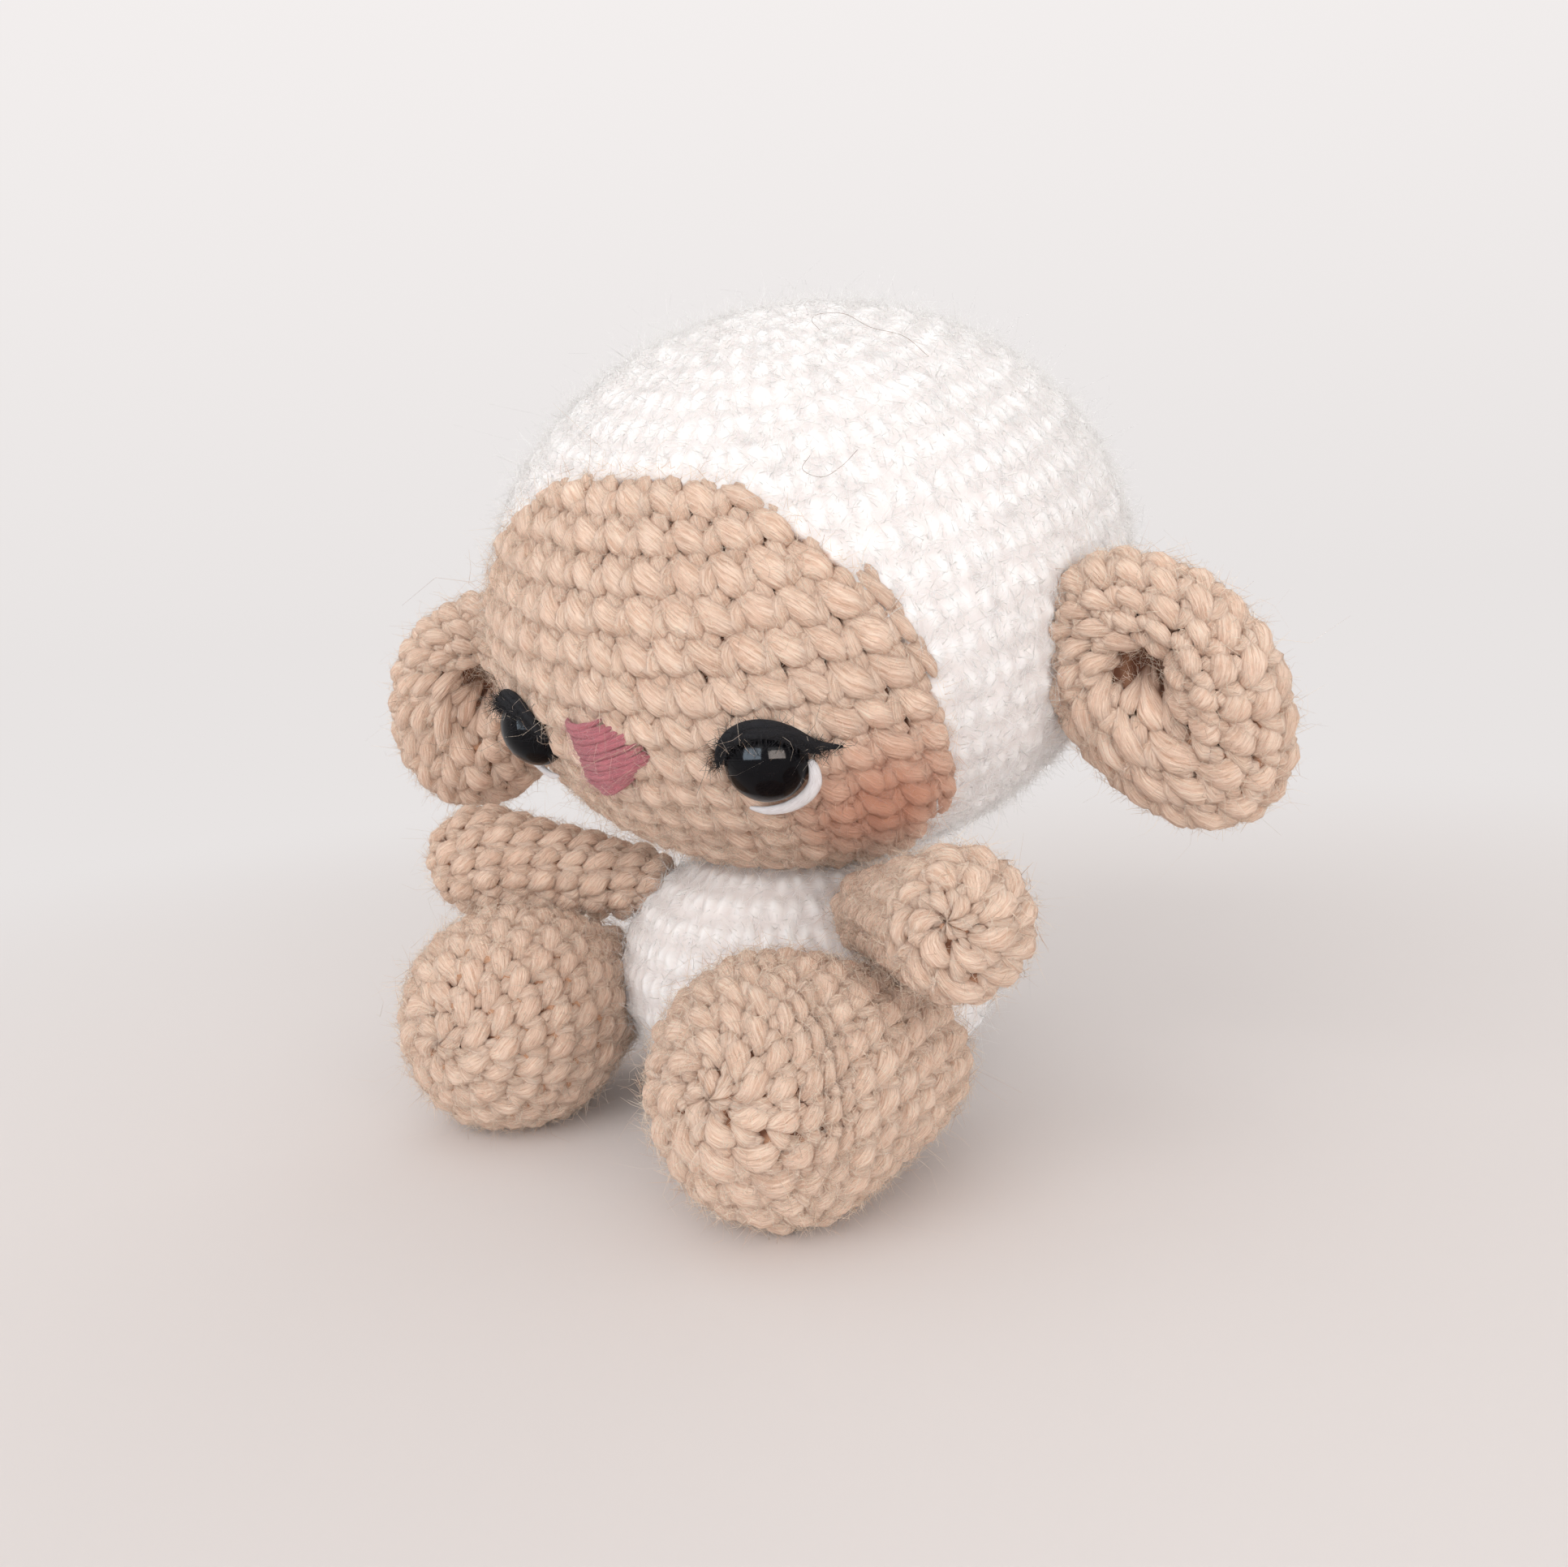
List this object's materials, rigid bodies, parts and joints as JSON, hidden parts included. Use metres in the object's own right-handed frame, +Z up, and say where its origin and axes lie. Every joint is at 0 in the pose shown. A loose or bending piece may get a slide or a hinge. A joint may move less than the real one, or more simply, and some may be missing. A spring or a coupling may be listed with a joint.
{
  "type": "crocheted lamb",
  "caption": "Sitting crocheted lamb toy with a large round head, face panel, domed eyes, stitched nose, cupped ears, stuffed body, arms, ball-footed legs and tail, each turning on its seam.",
  "frame": {"origin": "middle of the flat that the body sits on, at the floor", "axes": "+Z up, the lamb faces -Y, its left side is +X"},
  "size_m": [0.1271, 0.0988, 0.1101],
  "materials": {
    "tan_yarn": "crocheted cotton yarn, matt, slightly fuzzy",
    "white_yarn": "crocheted brushed yarn, fluffy",
    "fibre_filling": "loose fibre filling",
    "eye_plastic": "polished black",
    "washer_plastic": "satin off-white",
    "lash_felt": "black felted fibre",
    "white_thread": "thin white stitch",
    "pink_thread": "embroidered satin stitch, slight sheen"
  },
  "bodies": {
    "body": {"body_skin": "white_yarn", "body_stuffing": "fibre_filling"},
    "head": {"head_face_skin": "tan_yarn", "head_wool_skin": "white_yarn", "head_stuffing": "fibre_filling", "nose": "pink_thread", "eye_left": "eye_plastic", "eye_right": "eye_plastic", "eye_washer_left": "washer_plastic", "eye_washer_right": "washer_plastic", "lash_left": "lash_felt", "lash_right": "lash_felt", "eye_white_left": "white_thread", "eye_white_right": "white_thread"},
    "arm_left": {"arm_skin_left": "tan_yarn", "arm_stuffing_left": "fibre_filling"},
    "arm_right": {"arm_skin_right": "tan_yarn", "arm_stuffing_right": "fibre_filling"},
    "leg_left": {"leg_skin_left": "tan_yarn", "leg_stuffing_left": "fibre_filling"},
    "leg_right": {"leg_skin_right": "tan_yarn", "leg_stuffing_right": "fibre_filling"},
    "ear_left": {"ear_left": "tan_yarn"},
    "ear_right": {"ear_right": "tan_yarn"},
    "tail": {"tail": "white_yarn"}
  },
  "joints": [
    {"name": "head_turn", "type": "hinge", "parent": "body", "child": "head", "pos_m": [0, 0, 0.0342], "axis": [0, 0, 1], "range_deg": [-6, 6], "stiffness_Nm_per_rad": 0.15},
    {"name": "leg_left_splay", "type": "hinge", "parent": "body", "child": "leg_left", "pos_m": [0.0281, -0.01967, 0.0135], "axis": [0, 0, 1], "range_deg": [-6, 10], "stiffness_Nm_per_rad": 0.06},
    {"name": "leg_right_splay", "type": "hinge", "parent": "body", "child": "leg_right", "pos_m": [-0.0281, -0.01967, 0.0135], "axis": [0, 0, -1], "range_deg": [-6, 10], "stiffness_Nm_per_rad": 0.06},
    {"name": "arm_left_swing", "type": "hinge", "parent": "body", "child": "arm_left", "pos_m": [0.02182, -0.0116, 0.02916], "axis": [0, 0, 1], "range_deg": [-5, 8], "stiffness_Nm_per_rad": 0.02},
    {"name": "arm_right_swing", "type": "hinge", "parent": "body", "child": "arm_right", "pos_m": [-0.02182, -0.0116, 0.02916], "axis": [0, 0, -1], "range_deg": [-5, 8], "stiffness_Nm_per_rad": 0.02},
    {"name": "ear_left_flap", "type": "hinge", "parent": "head", "child": "ear_left", "pos_m": [0.04088, 0.00596, 0.05399], "axis": [-0.0957, -0.376, 0.9217], "range_deg": [-3, 15], "stiffness_Nm_per_rad": 0.01},
    {"name": "ear_right_flap", "type": "hinge", "parent": "head", "child": "ear_right", "pos_m": [-0.03766, -0.01074, 0.05528], "axis": [-0.3354, 0.2037, -0.9198], "range_deg": [-3, 15], "stiffness_Nm_per_rad": 0.01},
    {"name": "tail_wag", "type": "hinge", "parent": "body", "child": "tail", "pos_m": [0, 0.02954, 0.013], "axis": [0, 0, 1], "range_deg": [-20, 20], "stiffness_Nm_per_rad": 0.003}
  ]
}
